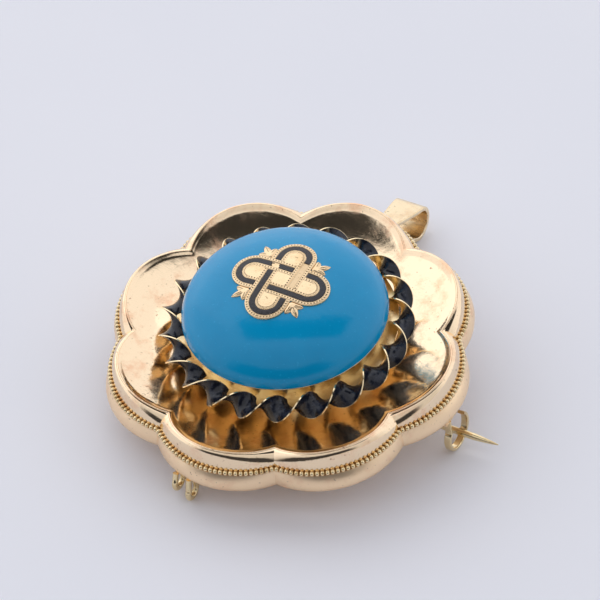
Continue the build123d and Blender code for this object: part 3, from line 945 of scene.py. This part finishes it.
def pin_eye():
    """Barrel of the stem, round the hinge rivet."""
    bore, half, corner = 0.45, 0.5, 0.1
    centre = np.array([low("pin_stem").x + PIN_EYE, 0.0, PIN_PIVOT_Z])
    profile = [(bore, -half), (bore, half)]
    rounding = np.array([0, 0.5, 1.05, 1.57])
    for end, turns in ((half - corner, math.pi / 2 - rounding), (corner - half, -rounding)):
        for a in turns:
            profile.append((PIN_EYE - corner + corner * math.cos(a), end + corner * math.sin(a)))
    turn = np.linspace(0, 2 * math.pi, 40, endpoint=False)
    points = [
        centre + np.array([radius * math.cos(a), along, radius * math.sin(a)])
        for radius, along in profile for a in turn
    ]
    faces = grid_faces(len(profile), len(turn), True, True)
    make_piece("pin_barrel", points, faces, wire, "pin", crease=40.0)


# --- build --------------------------------------------------------------------------------------
def dress(node, material):
    """Gives a CAD node that is shown as it is its material."""
    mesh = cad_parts[node].data
    mesh.materials.clear()
    mesh.materials.append(material)
    mesh.shade_smooth()
    mesh.set_sharp_from_angle(angle=math.radians(30))


front_tray()
rim_band()
lower_rim()
bead_wire()
enamel_dome()
dome_edge()
twisted_ribbon()
knot_plate()
knot_inlay()
leaf_sprigs()
bail()
for loop in ("drop_loop_left", "drop_loop_right"):
    drop_loop(loop)
catch()
pin_stem()
pin_eye()

for material, nodes_shown in (
    (satin, ("back_plate", "pin_hinge", "catch_foot")),
    (shaded, ("dome_collet", "ribbon_shelf", "ornament_rivet", "rivet_washer", "compartment_cup")),
    (polished, ("glazed_frame",)),
    (wire, ("pin_rivet", "bail_staple")),
    (card, ("keepsake_disc",)),
    (glass, ("locket_glass",)),
):
    for shown in nodes_shown:
        dress(shown, material)


# --- stage ------------------------------------------------------------------------------------------
def resting_plane():
    """Slopes and height of the floor: it touches the catch, a wire loop and the bail's end."""
    bail_end = 1.75                                 # from the bail's far side to its lowest line
    rests = []
    for node in ("catch", "drop_loop_right"):
        middle = (low(node) + high(node)) / 2
        rests.append((middle.x, middle.y, low(node).z))
    rests.append((0.0, high("bail").y - bail_end, low("bail").z))
    rests = np.array(rests)
    return np.linalg.solve(np.column_stack([rests[:, :2], np.ones(3)]), rests[:, 2])


def pale_floor():
    """Plain pale paper, a hair below what stands on it."""
    slope_x, slope_y, level = resting_plane()
    clearance = 0.02
    turn = np.linspace(0, 2 * math.pi, 96, endpoint=False)
    rows = []
    for radius in (0.001, 30, 60, 90, 120):
        x, y = radius * np.cos(turn), radius * np.sin(turn)
        rows.append(np.column_stack([x, y, slope_x * x + slope_y * y + level - clearance]))
    mesh = bpy.data.meshes.new("floor")
    mesh.from_pydata((np.concatenate(rows) * MM).tolist(), [], grid_faces(len(rows), len(turn), False, True))
    floor = bpy.data.objects.new("floor", mesh)
    bpy.context.scene.collection.objects.link(floor)
    material, nodes, links, shader = new_material("pale_paper_floor")
    drift = noise(nodes, links, place_in_mm(nodes, links), 0.02, 2.0, 0.5, 0.3, 0.7)
    colour = mix_colour(nodes, links, drift, (0.86, 0.87, 0.94), (0.88, 0.885, 0.95))
    links.new(colour, shader.inputs["Base Color"])
    shader.inputs["Roughness"].default_value = 0.6
    mesh.materials.append(material)


AZIMUTH, ELEVATION = math.radians(33.12), math.radians(47.25)
CAMERA_ROLL = math.asin(0.1358)
CAMERA_AWAY = 0.72                              # metres from what it is aimed at
FOCAL_LENGTH = 368.43
AIM_Z = 4.3                                     # height on the main axis that it is set from
AIM_RIGHT, AIM_UP = 1.42, 3.59                  # and how far from there it is aimed
VIEW_BACK = Vector((
    math.sin(AZIMUTH) * math.cos(ELEVATION), -math.cos(AZIMUTH) * math.cos(ELEVATION), math.sin(ELEVATION),
))


def camera():
    """Camera above the lower left of the face, rolled a little."""
    across = Vector((math.cos(AZIMUTH), math.sin(AZIMUTH), 0))
    upward = VIEW_BACK.cross(across)
    right = math.cos(CAMERA_ROLL) * across - math.sin(CAMERA_ROLL) * upward
    up = math.sin(CAMERA_ROLL) * across + math.cos(CAMERA_ROLL) * upward
    target = (Vector((0, 0, AIM_Z)) + AIM_RIGHT * right + AIM_UP * up) * MM
    lens = bpy.data.cameras.new("camera")
    lens.lens, lens.sensor_width, lens.clip_start = FOCAL_LENGTH, 36.0, 0.01
    shot = bpy.data.objects.new("camera", lens)
    bpy.context.scene.collection.objects.link(shot)
    axes = Matrix((right, up, VIEW_BACK)).transposed()
    shot.matrix_world = Matrix.Translation(target + VIEW_BACK * CAMERA_AWAY) @ axes.to_4x4()
    bpy.context.scene.camera = shot


def soft_light(name, place, size, watts):
    """A square area light aimed at the object, with its place and size in metres."""
    lamp = bpy.data.lights.new(name, "AREA")
    lamp.shape, lamp.size = "SQUARE", size
    lamp.energy = watts
    light = bpy.data.objects.new(name, lamp)
    bpy.context.scene.collection.objects.link(light)
    light.location = place
    light.rotation_euler = (-Vector(place)).to_track_quat("-Z", "Y").to_euler()


def studio_room():
    """Bright white tent, dimmer in front, with a dark panel overhead and a dark low patch in front.

    The polished gold and the dome reflect them; the camera itself sees a plain pale backdrop.
    """
    world = bpy.data.worlds.new("studio")
    bpy.context.scene.world = world
    world.use_nodes = True
    nodes, links = world.node_tree.nodes, world.node_tree.links
    nodes.clear()
    direction = nodes.new("ShaderNodeTexCoord").outputs["Generated"]

    def between(way, start, full):
        """0 where the direction's share along way is at start, changing to 1 at full."""
        dot = nodes.new("ShaderNodeVectorMath")
        dot.operation = "DOT_PRODUCT"
        dot.inputs[1].default_value = Vector(way).normalized()
        links.new(direction, dot.inputs[0])
        ramp = nodes.new("ShaderNodeMapRange")
        ramp.interpolation_type = "SMOOTHSTEP"
        ramp.inputs["From Min"].default_value = start
        ramp.inputs["From Max"].default_value = full
        links.new(dot.outputs["Value"], ramp.inputs["Value"])
        return ramp.outputs["Result"]

    def times(first, *others):
        """Product of sockets."""
        for other in others:
            product = nodes.new("ShaderNodeMath")
            product.operation = "MULTIPLY"
            links.new(first, product.inputs[0])
            links.new(other, product.inputs[1])
            first = product.outputs["Value"]
        return first

    front, upward = (math.sin(AZIMUTH), -math.cos(AZIMUTH), 0), (0, 0, 1)
    panel_front, panel_side, patch_front = (0.363, -0.932, 0), (-0.91, -0.42, 0), (0.34, -0.94, 0)
    panel = times(
        between(panel_front, -0.36, -0.26), between(panel_front, 0.07, 0.02),
        between(panel_side, 0.48, 0.41), between(panel_side, -0.72, -0.6), between(upward, 0.1, 0.3),
    )
    patch = times(
        between(patch_front, 0.5, 0.72), between(upward, -0.02, 0.05), between(upward, 0.62, 0.48)
    )
    tent = mix_colour(nodes, links, between(front, -0.1, 0.5), (1.06, 1.07, 1.11), (0.7, 0.7, 0.72))
    tent = mix_colour(nodes, links, panel, tent, (0.03, 0.03, 0.03))
    tent = mix_colour(nodes, links, patch, tent, (0.05, 0.05, 0.055))
    lit = nodes.new("ShaderNodeBackground")
    links.new(tent, lit.inputs["Color"])
    backdrop = nodes.new("ShaderNodeBackground")
    backdrop.inputs["Color"].default_value = (0.75, 0.77, 0.84, 1)
    ray = nodes.new("ShaderNodeLightPath")
    choose = nodes.new("ShaderNodeMixShader")
    links.new(ray.outputs["Is Camera Ray"], choose.inputs["Fac"])
    links.new(lit.outputs["Background"], choose.inputs[1])
    links.new(backdrop.outputs["Background"], choose.inputs[2])
    output = nodes.new("ShaderNodeOutputWorld")
    links.new(choose.outputs["Shader"], output.inputs["Surface"])


pale_floor()
camera()
studio_room()
soft_light("key", (-0.5, 0.4, 0.42), 0.9, 0.8)
bpy.context.scene.view_settings.view_transform = "Standard"
